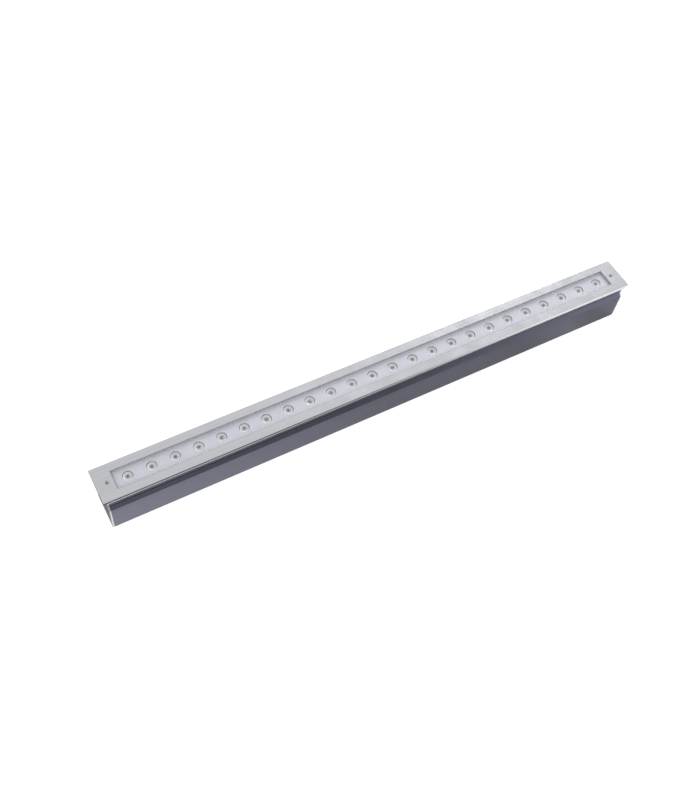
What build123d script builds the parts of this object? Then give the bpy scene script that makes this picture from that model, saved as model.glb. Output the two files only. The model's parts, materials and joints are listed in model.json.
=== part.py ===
from build123d import *
import math
import os

# Recessed linear ground light, in millimetres. The origin is the middle of the base,
# +X runs along the light, +Y across it and +Z up.

# Overall size
overall_height = 85.5
plate_length = 1000.0
plate_width = 64.0
plate_thickness = 3.0
plate_edge_break = 0.4

# Window, lenses and the two fixing screws
window_length = 940.5
window_width = 32.5
led_pitch = 39.05
board_count = 4
leds_per_board = 6
fixing_screw_spacing = 964.0

# Recess box, an extrusion with a plate at each end
box_length = 982.4
box_wall = 2.4
box_corner_radius = 3.5
flange_thickness = 2.8
neck_half_width = 27.2
neck_depth = 24.0
shoulder_depth = 29.5
end_plate_thickness = 2.8
end_screw_y = 26.6
end_screw_low_z = 5.0
end_screw_high_z = 50.0
end_screw_radius = 1.95
end_screw_head_radius = 3.8
end_screw_length = 14.0
screw_port_radius = 3.4
port_web_overlap = 0.5
drain_slot_length = 26.0
drain_slot_width = 3.4
drain_slot_pitch = 300.0
slot_corner_share = 0.3
anchor_hole_radius = 2.75
anchor_spacing_x = 800.0
anchor_spacing_y = 30.0

# Cable entry in the right end plate, and the closed knock-out in the left one
entry_height = 17.5
entry_hole_radius = 8.0
entry_bore_radius = 4.5
entry_lip_radius = 10.0
entry_lip_thickness = 1.6
entry_lip_bevel = 0.8
entry_inner_lip_reach = 3.2
knock_out_groove_depth = 2.2
knock_out_groove_width = 0.7

# Brackets that take the fixing screws
bracket_thickness = 2.0
bracket_half_width = 10.0
bracket_top_drop = 10.0
bracket_height = 26.0
bracket_reach = 13.2
bracket_hole_radius = 2.4
bracket_bend_radius = 1.5
bracket_corner_radius = 3.0
nut_across_flats = 7.0
nut_height = 3.2
nut_bore_radius = 2.05
rivet_radius = 2.0
rivet_head_radius = 3.6
rivet_head_height = 1.2
rivet_head_bevel = 0.8
rivet_heights = (55.0, 64.5)

# Fixing screws and their retaining washers
screw_radius = 2.0
screw_clearance_radius = 2.25
countersink_radius = 4.3
screw_head_radius = 4.0
screw_head_recess = 0.2
screw_tip_drop = 20.0
socket_across_flats = 2.5
socket_depth = 1.8
retainer_radius = 4.2
retainer_thickness = 0.8

# Glass, its seal and the adhesive ring under the plate
glass_thickness = 5.0
glass_recess = 0.5
seal_thickness = 0.5
seal_recess = 0.9
bond_thickness = 0.4

# Light housing, an extrusion with a cap at each end
housing_length = 944.0
housing_half_width = 22.5
housing_depth = 50.0
housing_wall = 2.5
housing_floor = 2.0
housing_corner_radius = 3.0
optic_plate_thickness = 2.0
ledge_thickness = 2.0
ledge_half_gap = 12.2
shelf_depth = 20.0
shelf_thickness = 2.5
fin_count = 8
fin_groove_depth = 1.2
fin_groove_width = 1.7
fin_pitch = 3.4
fin_first_drop = 17.0
tray_rail_reach = 1.8
tray_rail_thickness = 1.0
tray_height = 7.7
cap_thickness = 4.0
cap_edge_break = 0.8
gasket_thickness = 1.0
cap_screw_radius = 1.45
cap_screw_head_radius = 2.8
cap_screw_length = 14.0
cap_port_radius = 2.8
cap_screw_high = (19.4, 79.0)
cap_screw_low = (18.9, 39.3)

# Boards, emitters, lenses and lens carriers
thermal_pad_thickness = 0.4
board_thickness = 1.6
board_width = 36.0
board_gap = 0.6
emitter_side = 3.5
emitter_thickness = 0.8
emitter_dome_radius = 1.5
emitter_dome_height = 1.1
lens_height = 11.3
lens_foot_radius = 4.2
lens_rim_radius = 8.0
lens_rim_height = 2.4
lens_well_radius = 2.8
lens_well_depth = 3.0
lens_dimple_radius = 4.4
lens_dimple_floor_radius = 2.4
lens_dimple_depth = 1.3
optic_hole_radius = 8.2
optic_hole_chamfer = 0.7
carrier_width = 20.0
carrier_end_margin = 10.5
carrier_corner_cut = 3.0
carrier_lens_gap = 0.3
carrier_top_gap = 0.4
carrier_foot_height = 3.2
board_screw_radius = 1.5
board_screw_head_radius = 2.7
board_screw_head_height = 1.8
board_screw_head_bevel = 0.7
board_screw_y = 10.5
link_length = 15.0
link_width = 6.0
link_height = 4.5
link_waist_depth = 1.2

# Driver and its tray, terminal block, cable gland and breather vent
tray_length = 430.0
tray_thickness = 1.2
tray_centre_x = -60.0
driver_length = 190.0
driver_width = 32.0
driver_height = 16.5
driver_edge_bevel = 2.0
driver_ear_length = 9.0
driver_ear_width = 19.2
driver_ear_thickness = 2.0
driver_ear_bevel = 2.0
driver_groove_count = 9
driver_groove_pitch = 20.0
driver_groove_width = 3.0
driver_groove_length = 22.4
driver_groove_depth = 0.6
driver_x = 10.0
tray_slot_length = 24.0
tray_slot_width = 8.0
tray_slot_margin = 24.0
tray_side_gap = 0.4
tray_rail_gap = 0.2
terminal_x = -215.0
terminal_pitch = 8.0
terminal_poles = 3
terminal_depth = 20.0
terminal_height = 14.0
terminal_bevel = 3.0
terminal_screw_radius = 2.0
terminal_screw_depth = 5.0
terminal_wire_radius = 2.2
terminal_wire_height = 4.0
gland_x = -400.0
gland_bore_radius = 3.9
gland_seal_radius = 5.4
gland_seal_length = 10.0
gland_thread_radius = 8.0
gland_thread_reach = 5.5
gland_hex = 20.0
gland_collar_height = 5.0
gland_spigot_radius = 7.2
gland_spigot_length = 6.0
gland_nut_hex = 19.0
gland_nut_height = 6.0
gland_nut_gap = 0.4
gland_dome_height = 2.6
gland_dome_top_radius = 8.6
gland_dome_low_radius = 6.4
gland_mouth_radius = 5.0
gland_locknut_height = 4.0
vent_x = 400.0
vent_thread_radius = 6.0
vent_thread_reach = 4.5
vent_hex = 15.0
vent_base_height = 3.0
vent_cap_height = 4.5
vent_cap_top_radius = 7.0
vent_cap_low_radius = 5.4
vent_bore_radius = 3.5
vent_slot_width = 1.4
vent_slot_height = 2.2
vent_slot_drop = 6.8
vent_locknut_height = 3.2

# Flat sides of small round forms: the many small ones are cut with few sides
seen_sides = 10
hidden_sides = 8

# Levels and reaches that follow from these
plate_under = overall_height - plate_thickness
flange_under = plate_under - flange_thickness
half_width = plate_width / 2
neck_bottom = overall_height - neck_depth
shoulder_bottom = overall_height - shoulder_depth
fixing_x = fixing_screw_spacing / 2
box_end_x = box_length / 2
housing_end_x = housing_length / 2
cap_inner_x = housing_end_x + gasket_thickness
cap_outer_x = cap_inner_x + cap_thickness
housing_top = plate_under - bond_thickness
housing_bottom = overall_height - housing_depth
housing_inner_half = housing_half_width - housing_wall
glass_top = overall_height - glass_recess
glass_bottom = glass_top - glass_thickness
ledge_top = glass_bottom - optic_plate_thickness
ledge_bottom = ledge_top - ledge_thickness
shelf_top = overall_height - shelf_depth
shelf_bottom = shelf_top - shelf_thickness
cavity_floor = housing_bottom + housing_floor
board_top = shelf_top + thermal_pad_thickness + board_thickness
tray_bottom = housing_bottom + tray_height
tray_top = tray_bottom + tray_thickness
board_length = leds_per_board * led_pitch - board_gap
box_outer_x = box_end_x + end_plate_thickness


def centred_box(length, width, height):
    """A box that stands on the origin."""
    return Box(length, width, height, align=(Align.CENTER, Align.CENTER, Align.MIN))


def upright(radius, height):
    """A round bar that stands on the origin."""
    return Cylinder(radius, height, align=(Align.CENTER, Align.CENTER, Align.MIN))


def sided_bar(radius, height, sides):
    """An upright bar with flat sides that stands on the origin."""
    return extrude(RegularPolygon(radius, sides), height)


def sided_band(low_radius, high_radius, height, sides):
    """A tapering bar with flat sides that stands on the origin."""
    step = abs(high_radius - low_radius) * math.cos(math.pi / sides)
    slope = math.degrees(math.atan(step / height))
    bar = extrude(RegularPolygon(max(low_radius, high_radius), sides), height, taper=slope)
    return bar if high_radius <= low_radius else Pos(0, 0, height) * Rot(180, 0, 0) * bar


def sided_stack(sections, sides):
    """An upright bar with flat sides through sections given as radius and height, bottom first."""
    bands = []
    for (low_radius, low), (high_radius, high) in zip(sections, sections[1:]):
        bands.append(Pos(0, 0, low) * sided_band(low_radius, high_radius, high - low, sides))
    return bands[0] + bands[1:] if len(bands) > 1 else bands[0]


def hexagon_bar(across_flats, height):
    """A hexagon bar that stands on the origin."""
    return sided_bar(across_flats / math.sqrt(3), height, 6)


def slot_cutter(length, width, height):
    """The cutter for a slot along X whose ends are cut at the corners, standing on the origin."""
    bar = centred_box(length, width, height)
    return chamfer(bar.edges().filter_by(Axis.Z), slot_corner_share * width)


def mirrored_outline(points):
    """A closed outline from its +Y half, listed from the bottom up and without points at the middle."""
    left = [(-y, z) for y, z in reversed(points)]
    return points + left


def section_face(points):
    """A face in the cross-section plane, from points given as y and z."""
    return make_face(Polyline([(0, y, z) for y, z in points], close=True))


def extruded_section(section, start_x, length):
    """A cross-section run along +X from start_x."""
    return Pos(start_x, 0, 0) * extrude(section, length, dir=(1, 0, 0))


def along_x(start_x, y, z, bar):
    """Lays an upright bar along +X from start_x."""
    return Pos(start_x, y, z) * Rot(0, 90, 0) * bar


def countersunk_screw(radius, head_radius, length, sides):
    """A countersunk screw with its head's flat top at the origin, pointing down -Z."""
    head_depth = head_radius - radius
    return sided_stack([(radius, -length), (radius, -head_depth), (head_radius, 0)], sides)


def countersunk_hole(radius, head_radius, depth, sides):
    """The cutter for a countersunk hole whose mouth is at the origin, going down -Z."""
    head_depth = head_radius - radius
    return sided_stack([(radius, -depth), (radius, -head_depth), (head_radius, 0), (head_radius, 1)], sides)


def at_end(side, x, y, z, shape):
    """Stands a piece made along -Z on the left (-1) or right (+1) end, pointing inwards."""
    return Pos(side * x, y, z) * Rot(0, side * 90, 0) * shape


def led_positions(board):
    """The x of each emitter of one board, counted from 0 at the left."""
    first = board * leds_per_board
    middle = (board_count * leds_per_board - 1) / 2
    return [(first + step - middle) * led_pitch for step in range(leds_per_board)]


def board_centre(board):
    places = led_positions(board)
    return (places[0] + places[-1]) / 2


# Recess box

def box_outer_outline():
    """Half outline of the box, from its base to the flange's top edge."""
    return [
        (half_width, 0),
        (half_width, shoulder_bottom),
        (neck_half_width, neck_bottom),
        (neck_half_width, flange_under),
        (half_width, flange_under),
        (half_width, plate_under),
    ]


def box_bottom_edges(solid):
    """The two long edges at the bottom corners."""
    return solid.edges().filter_by(Axis.X).group_by(Axis.Z)[0]


def box_shell():
    outer = section_face(mirrored_outline(box_outer_outline()))
    solid = extruded_section(outer, -box_end_x, box_length)
    solid = fillet(box_bottom_edges(solid), box_corner_radius)
    bend = math.atan2(half_width - neck_half_width, neck_bottom - shoulder_bottom)
    shift = box_wall * math.tan(bend / 2)
    inner_half = [
        (half_width - box_wall, box_wall),
        (half_width - box_wall, shoulder_bottom - shift),
        (neck_half_width - box_wall, neck_bottom - shift),
        (neck_half_width - box_wall, plate_under + 1),
    ]
    inner = section_face(mirrored_outline(inner_half))
    hollow = extruded_section(inner, -box_end_x - 1, box_length + 2)
    hollow = fillet(box_bottom_edges(hollow), box_corner_radius - box_wall)
    return solid - hollow


def end_screw_places():
    return [(y, z) for y in (-end_screw_y, end_screw_y) for z in (end_screw_low_z, end_screw_high_z)]


def box_extrusion():
    solid = box_shell()
    inside = half_width - box_wall
    for y, z in end_screw_places():
        port = along_x(-box_end_x, y, z, sided_bar(screw_port_radius, box_length, hidden_sides))
        width = inside - abs(y) + port_web_overlap
        web_y = math.copysign(abs(y) + width / 2, y)
        solid = solid + port + Pos(0, web_y, z) * Box(box_length, width, screw_port_radius)
    for y, z in end_screw_places():
        solid = solid - along_x(-box_end_x, y, z, sided_bar(end_screw_radius, box_length, hidden_sides))
    slot = slot_cutter(drain_slot_length, drain_slot_width, box_wall + 2)
    for step in (-1, 0, 1):
        solid = solid - Pos(step * drain_slot_pitch, 0, -1) * slot
    for place in GridLocations(anchor_spacing_x, anchor_spacing_y, 2, 2):
        solid = solid - place * Pos(0, 0, -1) * upright(anchor_hole_radius, box_wall + 2)
    return solid


def box_end_plate(side):
    face = section_face(mirrored_outline(box_outer_outline()))
    start = box_end_x if side > 0 else -box_end_x - end_plate_thickness
    solid = extruded_section(face, start, end_plate_thickness)
    solid = fillet(box_bottom_edges(solid), box_corner_radius)
    through = end_plate_thickness + 1
    for y, z in end_screw_places():
        cutter = countersunk_hole(end_screw_radius, end_screw_head_radius, through, hidden_sides)
        solid = solid - at_end(side, box_outer_x, y, z, cutter)
    for z in rivet_heights:
        cutter = countersunk_hole(rivet_radius, rivet_head_radius, through, hidden_sides)
        solid = solid - at_end(side, box_outer_x, 0, z, cutter)
    if side > 0:
        hole = sided_bar(entry_hole_radius, through + 1, seen_sides)
        return solid - along_x(box_end_x - 1, 0, entry_height, hole)
    ring = sided_bar(entry_hole_radius, knock_out_groove_depth, seen_sides)
    disc_radius = entry_hole_radius - knock_out_groove_width
    ring = ring - sided_bar(disc_radius, knock_out_groove_depth, seen_sides)
    return solid - at_end(side, box_outer_x, 0, entry_height, Pos(0, 0, -knock_out_groove_depth) * ring)


def end_plate_screws():
    screw = countersunk_screw(end_screw_radius, end_screw_head_radius, end_screw_length, hidden_sides)
    screw = screw - Pos(0, 0, -socket_depth) * hexagon_bar(socket_across_flats, socket_depth)
    return [at_end(side, box_outer_x, y, z, screw) for side in (-1, 1) for y, z in end_screw_places()]


def cable_grommet():
    """A bevelled outer lip, a neck in the plate's hole and a tapering inner lip."""
    inner_face = -end_plate_thickness
    inner_end = inner_face - entry_inner_lip_reach
    bevelled_radius = entry_lip_radius - entry_lip_bevel
    lip_sections = [
        (entry_lip_radius, 0),
        (entry_lip_radius, entry_lip_thickness - entry_lip_bevel),
        (bevelled_radius, entry_lip_thickness),
    ]
    inner_sections = [(entry_hole_radius - entry_lip_bevel, inner_end), (bevelled_radius, inner_face)]
    neck = Pos(0, 0, inner_face) * sided_bar(entry_hole_radius, end_plate_thickness, seen_sides)
    solid = sided_stack(lip_sections, seen_sides) + neck + sided_stack(inner_sections, seen_sides)
    solid = solid - Pos(0, 0, inner_end) * upright(entry_bore_radius, entry_lip_thickness - inner_end)
    return at_end(1, box_outer_x, 0, entry_height, solid)


def fixing_bracket(side):
    """A folded angle: one leg on the end plate, the other under the fixing screw."""
    top = overall_height - bracket_top_drop
    inner = box_end_x - bracket_reach
    outline = [
        (box_end_x, top - bracket_height),
        (box_end_x, top),
        (inner, top),
        (inner, top - bracket_thickness),
        (box_end_x - bracket_thickness, top - bracket_thickness),
        (box_end_x - bracket_thickness, top - bracket_height),
    ]
    face = make_face(Polyline([(side * x, 0, z) for x, z in outline], close=True))
    solid = extrude(face, bracket_half_width, both=True)
    bend = solid.edges().filter_by(Axis.Y).filter_by_position(Axis.Z, top - 0.01, top + 0.01)
    bend = bend.sort_by(Axis.X)[-1] if side > 0 else bend.sort_by(Axis.X)[0]
    solid = fillet(bend, bracket_bend_radius)
    corners = solid.edges().filter_by(Axis.X).filter_by_position(Axis.Z, 0, top - bracket_height + 0.01)
    solid = fillet(corners, bracket_corner_radius)
    through = 3 * bracket_thickness
    screw_hole = sided_bar(bracket_hole_radius, through, seen_sides)
    solid = solid - Pos(side * fixing_x, 0, top - through / 2) * screw_hole
    for z in rivet_heights:
        hole = sided_bar(rivet_radius, through, hidden_sides)
        solid = solid - along_x(side * box_end_x - through / 2, 0, z, hole)
    return solid


def bracket_rivets():
    grip = end_plate_thickness + bracket_thickness
    shank = countersunk_screw(rivet_radius, rivet_head_radius, grip, hidden_sides)
    bevelled_radius = rivet_head_radius - rivet_head_bevel
    head = sided_band(bevelled_radius, rivet_head_radius, rivet_head_height, hidden_sides)
    rivet = shank + Pos(0, 0, -grip - rivet_head_height) * head
    return [at_end(side, box_outer_x, 0, z, rivet) for side in (-1, 1) for z in rivet_heights]


def bracket_nuts():
    top = overall_height - bracket_top_drop - bracket_thickness
    bore = sided_bar(nut_bore_radius, nut_height, 2 * seen_sides)
    nut = hexagon_bar(nut_across_flats, nut_height) - bore
    return [Pos(side * fixing_x, 0, top - nut_height) * nut for side in (-1, 1)]


# Face plate, glass and fixing screws

def face_plate():
    solid = Pos(0, 0, plate_under) * centred_box(plate_length, plate_width, plate_thickness)
    rim = solid.faces().sort_by(Axis.Z)[-1].edges()
    solid = chamfer(rim, plate_edge_break)
    window = centred_box(window_length, window_width, plate_thickness + 2)
    solid = solid - Pos(0, 0, plate_under - 1) * window
    through = plate_thickness + 1
    cutter = countersunk_hole(screw_clearance_radius, countersink_radius, through, 2 * seen_sides)
    for side in (-1, 1):
        solid = solid - Pos(side * fixing_x, 0, overall_height) * cutter
    return solid


def fixing_screws():
    head_top = overall_height - screw_head_recess
    length = screw_tip_drop - screw_head_recess
    screw = countersunk_screw(screw_radius, screw_head_radius, length, 2 * seen_sides)
    screw = screw - Pos(0, 0, -socket_depth) * hexagon_bar(socket_across_flats, socket_depth)
    return [Pos(side * fixing_x, 0, head_top) * screw for side in (-1, 1)]


def screw_retainers():
    hole = sided_bar(screw_radius, retainer_thickness, 2 * seen_sides)
    ring = sided_bar(retainer_radius, retainer_thickness, seen_sides) - hole
    return [Pos(side * fixing_x, 0, plate_under - retainer_thickness) * ring for side in (-1, 1)]


def cover_glass():
    length = window_length - 2 * seal_thickness
    width = window_width - 2 * seal_thickness
    return Pos(0, 0, glass_bottom) * centred_box(length, width, glass_thickness)


def glass_seal():
    height = overall_height - seal_recess - glass_bottom
    ring = centred_box(window_length, window_width, height)
    ring = ring - centred_box(window_length - 2 * seal_thickness, window_width - 2 * seal_thickness, height)
    return Pos(0, 0, glass_bottom) * ring


def plate_bond():
    ring = centred_box(2 * cap_outer_x, 2 * housing_half_width, bond_thickness)
    ring = ring - centred_box(window_length, window_width, bond_thickness)
    return Pos(0, 0, housing_top) * ring


# Light housing

def housing_outline():
    """Half outline of the housing's outside."""
    return [(housing_half_width, housing_bottom), (housing_half_width, housing_top)]


def housing_block(start_x, length):
    outer = section_face(mirrored_outline(housing_outline()))
    solid = extruded_section(outer, start_x, length)
    return fillet(box_bottom_edges(solid), housing_corner_radius)


def cap_screw_places():
    return [(sign * y, z) for y, z in (cap_screw_high, cap_screw_low) for sign in (-1, 1)]


def housing_cavities(start_x, length):
    """The glass channel, the lens chamber and the driver cavity, as one cutter."""
    channel = [
        (housing_inner_half, shelf_top),
        (housing_inner_half, ledge_bottom),
        (ledge_half_gap, ledge_bottom),
        (ledge_half_gap, ledge_top),
        (window_width / 2, ledge_top),
        (window_width / 2, housing_top + 1),
    ]
    cavity = [(housing_inner_half, cavity_floor), (housing_inner_half, shelf_bottom)]
    upper = extruded_section(section_face(mirrored_outline(channel)), start_x, length)
    lower = extruded_section(section_face(mirrored_outline(cavity)), start_x, length)
    return upper + lower


def light_housing():
    solid = housing_block(-housing_end_x, housing_length)
    solid = solid - housing_cavities(-housing_end_x, housing_length)
    port_y, port_z = cap_screw_low
    for side in (-1, 1):
        port = sided_bar(cap_port_radius, housing_length, hidden_sides)
        port = along_x(-housing_end_x, side * port_y, port_z, port)
        solid = solid + (port & housing_block(-housing_end_x, housing_length))
        rail_y = side * (housing_inner_half - tray_rail_reach / 2)
        rail = Box(housing_length, tray_rail_reach, tray_rail_thickness)
        under = tray_bottom - tray_rail_gap - tray_rail_thickness / 2
        over = tray_top + tray_rail_gap + tray_rail_thickness / 2
        solid = solid + Pos(0, rail_y, under) * rail + Pos(0, rail_y, over) * rail
        for step in range(fin_count):
            groove_z = overall_height - fin_first_drop - step * fin_pitch
            groove = Box(housing_length, 2 * fin_groove_depth, fin_groove_width)
            solid = solid - Pos(0, side * housing_half_width, groove_z) * groove
    for y, z in cap_screw_places():
        bore = sided_bar(cap_screw_radius, housing_length, hidden_sides)
        solid = solid - along_x(-housing_end_x, y, z, bore)
    gland_hole = sided_bar(gland_thread_radius, 2 * housing_floor, 2 * seen_sides)
    vent_hole = sided_bar(vent_thread_radius, 2 * housing_floor, seen_sides)
    solid = solid - Pos(gland_x, 0, housing_bottom - 1) * gland_hole
    return solid - Pos(vent_x, 0, housing_bottom - 1) * vent_hole


def cap_gasket(side):
    start = housing_end_x if side > 0 else -cap_inner_x
    solid = housing_block(start, gasket_thickness)
    window = Pos(side * (housing_end_x + gasket_thickness / 2), 0, 0)
    chamber = Box(2 * gasket_thickness, 2 * ledge_half_gap, ledge_bottom - shelf_top)
    cavity = Box(2 * gasket_thickness, 2 * ledge_half_gap, shelf_bottom - cavity_floor - cap_thickness)
    solid = solid - window * Pos(0, 0, (ledge_bottom + shelf_top) / 2) * chamber
    solid = solid - window * Pos(0, 0, (shelf_bottom + cavity_floor) / 2) * cavity
    for y, z in cap_screw_places():
        bore = sided_bar(cap_screw_radius, 3 * gasket_thickness, hidden_sides)
        solid = solid - along_x(start - gasket_thickness, y, z, bore)
    return solid


def housing_cap(side):
    start = cap_inner_x if side > 0 else -cap_outer_x
    solid = housing_block(start, cap_thickness)
    outer_face = solid.faces().sort_by(Axis.X)[-1 if side > 0 else 0]
    solid = chamfer(outer_face.edges(), cap_edge_break)
    for y, z in cap_screw_places():
        cutter = countersunk_hole(cap_screw_radius, cap_screw_head_radius, cap_thickness + 1, hidden_sides)
        solid = solid - at_end(side, cap_outer_x, y, z, cutter)
    return solid


def cap_screws():
    screw = countersunk_screw(cap_screw_radius, cap_screw_head_radius, cap_screw_length, hidden_sides)
    return [at_end(side, cap_outer_x, y, z, screw) for side in (-1, 1) for y, z in cap_screw_places()]


# Boards and optics

def thermal_pad(board):
    pad = centred_box(board_length, board_width, thermal_pad_thickness)
    return Pos(board_centre(board), 0, shelf_top) * pad


def board_screw_places(board):
    """Two screws for each board, midway between emitters and off the centre line."""
    places = led_positions(board)
    return [(places[1] - led_pitch / 2, board_screw_y), (places[-2] + led_pitch / 2, -board_screw_y)]


def led_board(board):
    solid = centred_box(board_length, board_width, board_thickness)
    solid = Pos(board_centre(board), 0, board_top - board_thickness) * solid
    for x, y in board_screw_places(board):
        hole = sided_bar(board_screw_radius, board_thickness, hidden_sides)
        solid = solid - Pos(x, y, board_top - board_thickness) * hole
    return solid


def pan_head_screw(grip):
    """A small screw with a tapering head that stands on the origin and a shank that goes down by grip."""
    top_radius = board_screw_head_radius - board_screw_head_bevel
    head = sided_band(board_screw_head_radius, top_radius, board_screw_head_height, hidden_sides)
    return head + Pos(0, 0, -grip) * sided_bar(board_screw_radius, grip, hidden_sides)


def board_screws():
    places = [place for board in range(board_count) for place in board_screw_places(board)]
    screw = pan_head_screw(board_thickness)
    return [Pos(x, y, board_top) * screw for x, y in places]


def board_links():
    """Rigid plug links that carry the current from one board to the next."""
    links = []
    for board in range(board_count - 1):
        joint_x = (board_centre(board) + board_centre(board + 1)) / 2
        link = centred_box(link_length, link_width, link_height)
        waist = centred_box(link_length / 3, link_width, link_waist_depth)
        link = link - Pos(0, 0, link_height - link_waist_depth) * waist
        links.append(Pos(joint_x, board_screw_y + 2, board_top) * link)
    return links


def emitters(board):
    """Square LED packages, each with a low faceted dome."""
    base = centred_box(emitter_side, emitter_side, emitter_thickness)
    dome = extrude(RegularPolygon(emitter_dome_radius, hidden_sides), emitter_dome_height, taper=30)
    package = base + Pos(0, 0, emitter_thickness) * dome
    return [Pos(x, 0, board_top) * package for x in led_positions(board)]


def collimator():
    """A clear lens that stands on the origin: flared side, rim, top dimple and emitter well."""
    rim_start = lens_height - lens_rim_height
    sections = [(lens_foot_radius, 0), (lens_rim_radius, rim_start), (lens_rim_radius, lens_height)]
    dimple = sided_band(lens_dimple_floor_radius, lens_dimple_radius, lens_dimple_depth, seen_sides)
    dimple = Pos(0, 0, lens_height - lens_dimple_depth) * dimple
    well = sided_bar(lens_well_radius, lens_well_depth, hidden_sides)
    return sided_stack(sections, seen_sides) - dimple - well


def lenses(board):
    lens = collimator()
    return [Pos(x, 0, board_top) * lens for x in led_positions(board)]


def lens_carrier(board):
    """A moulded strip that stands on one board and holds its lenses upright in sockets."""
    height = ledge_top - carrier_top_gap - board_top
    length = (leds_per_board - 1) * led_pitch + 2 * carrier_end_margin
    strip = centred_box(length, carrier_width, height)
    strip = chamfer(strip.edges().filter_by(Axis.Z), carrier_corner_cut)
    places = [x - board_centre(board) for x in led_positions(board)]
    for left, right in zip(places, places[1:]):
        gap = Pos((left + right) / 2, 0, 0) * centred_box(led_pitch / 2, carrier_width, carrier_foot_height)
        strip = strip - gap
    flat_radius = (lens_rim_radius + carrier_lens_gap) / math.cos(math.pi / hidden_sides)
    socket = sided_bar(flat_radius, height, hidden_sides)
    strip = strip - [Pos(x, 0, 0) * socket for x in places]
    return Pos(board_centre(board), 0, board_top) * strip


def optic_plate():
    length = window_length - 2 * seal_thickness
    width = window_width - 2 * seal_thickness
    solid = centred_box(length, width, optic_plate_thickness)
    mouth_radius = optic_hole_radius + optic_hole_chamfer
    sections = [
        (optic_hole_radius, -1),
        (optic_hole_radius, optic_plate_thickness - optic_hole_chamfer),
        (mouth_radius, optic_plate_thickness),
        (mouth_radius, optic_plate_thickness + 1),
    ]
    cutter = sided_stack(sections, seen_sides)
    places = [x for board in range(board_count) for x in led_positions(board)]
    solid = solid - [Pos(x, 0, 0) * cutter for x in places]
    return Pos(0, 0, ledge_top) * solid


# Driver, terminal block, gland and vent

def driver_tray():
    width = 2 * (housing_inner_half - tray_side_gap)
    solid = Pos(tray_centre_x, 0, tray_bottom) * centred_box(tray_length, width, tray_thickness)
    slot = slot_cutter(tray_slot_length, tray_slot_width, tray_thickness)
    for side in (-1, 1):
        slot_x = tray_centre_x + side * (tray_length / 2 - tray_slot_margin)
        solid = solid - Pos(slot_x, 0, tray_bottom) * slot
    for x in driver_screw_places():
        solid = solid - Pos(x, 0, tray_bottom) * sided_bar(board_screw_radius, tray_thickness, hidden_sides)
    return solid


def driver_screw_places():
    reach = (driver_length + driver_ear_length) / 2
    return [driver_x - reach, driver_x + reach]


def driver():
    """A potted case with grooves across its top and a mounting ear at each end."""
    case = centred_box(driver_length, driver_width, driver_height)
    case = chamfer(case.edges().filter_by(Axis.X).group_by(Axis.Z)[-1], driver_edge_bevel)
    ears = centred_box(driver_length + 2 * driver_ear_length, driver_ear_width, driver_ear_thickness)
    ears = chamfer(ears.edges().filter_by(Axis.Z), driver_ear_bevel)
    solid = case + ears
    for x in driver_screw_places():
        hole = sided_bar(board_screw_radius, driver_ear_thickness, hidden_sides)
        solid = solid - Pos(x - driver_x, 0, 0) * hole
    groove = centred_box(driver_groove_width, driver_groove_length, driver_groove_depth)
    for step in range(driver_groove_count):
        groove_x = (step - (driver_groove_count - 1) / 2) * driver_groove_pitch
        solid = solid - Pos(groove_x, 0, driver_height - driver_groove_depth) * groove
    return Pos(driver_x, 0, tray_top) * solid


def driver_screws():
    screw = pan_head_screw(driver_ear_thickness + tray_thickness)
    return [Pos(x, 0, tray_top + driver_ear_thickness) * screw for x in driver_screw_places()]


def terminal_block():
    width = terminal_poles * terminal_pitch
    body = centred_box(terminal_depth, width, terminal_height)
    body = chamfer(body.edges().filter_by(Axis.Y).group_by(Axis.Z)[-1], terminal_bevel)
    screw_well = sided_bar(terminal_screw_radius, terminal_screw_depth, hidden_sides)
    wire_hole = sided_bar(terminal_wire_radius, terminal_depth, hidden_sides)
    for pole in range(terminal_poles):
        y = (pole - (terminal_poles - 1) / 2) * terminal_pitch
        body = body - Pos(0, y, terminal_height - terminal_screw_depth) * screw_well
        body = body - along_x(-terminal_depth / 2, y, terminal_wire_height, wire_hole)
    return Pos(terminal_x, 0, tray_top) * body


def gland_levels():
    """The heights of the collar's underside, the spigot's end and the gland nut's top."""
    collar_under = housing_bottom - gland_collar_height
    return collar_under, collar_under - gland_spigot_length, collar_under - gland_nut_gap


def gland_body():
    collar_under, spigot_end, _ = gland_levels()
    collar = Pos(0, 0, collar_under) * hexagon_bar(gland_hex, gland_collar_height)
    thread_length = housing_floor + gland_thread_reach
    thread = Pos(0, 0, housing_bottom) * sided_bar(gland_thread_radius, thread_length, 2 * seen_sides)
    spigot = Pos(0, 0, spigot_end) * sided_bar(gland_spigot_radius, gland_spigot_length, seen_sides)
    bore_length = gland_spigot_length + gland_collar_height + thread_length
    bore = Pos(0, 0, spigot_end) * sided_bar(gland_seal_radius, bore_length, 2 * seen_sides)
    return Pos(gland_x, 0, 0) * (collar + thread + spigot - bore)


def gland_nut():
    """A hexagon cap with a domed mouth, screwed over the spigot."""
    _, spigot_end, nut_top = gland_levels()
    nut_low = nut_top - gland_nut_height
    mouth = nut_low - gland_dome_height
    dome = sided_stack([(gland_dome_low_radius, mouth), (gland_dome_top_radius, nut_low)], seen_sides)
    solid = Pos(0, 0, nut_low) * hexagon_bar(gland_nut_hex, gland_nut_height) + dome
    solid = solid - Pos(0, 0, spigot_end) * sided_bar(gland_spigot_radius, nut_top - spigot_end, seen_sides)
    solid = solid - Pos(0, 0, mouth) * sided_bar(gland_mouth_radius, spigot_end - mouth, 2 * seen_sides)
    return Pos(gland_x, 0, 0) * solid


def gland_seal():
    _, spigot_end, _ = gland_levels()
    ring = sided_bar(gland_seal_radius, gland_seal_length, 2 * seen_sides)
    ring = ring - upright(gland_bore_radius, gland_seal_length)
    return Pos(gland_x, 0, spigot_end) * ring


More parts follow.
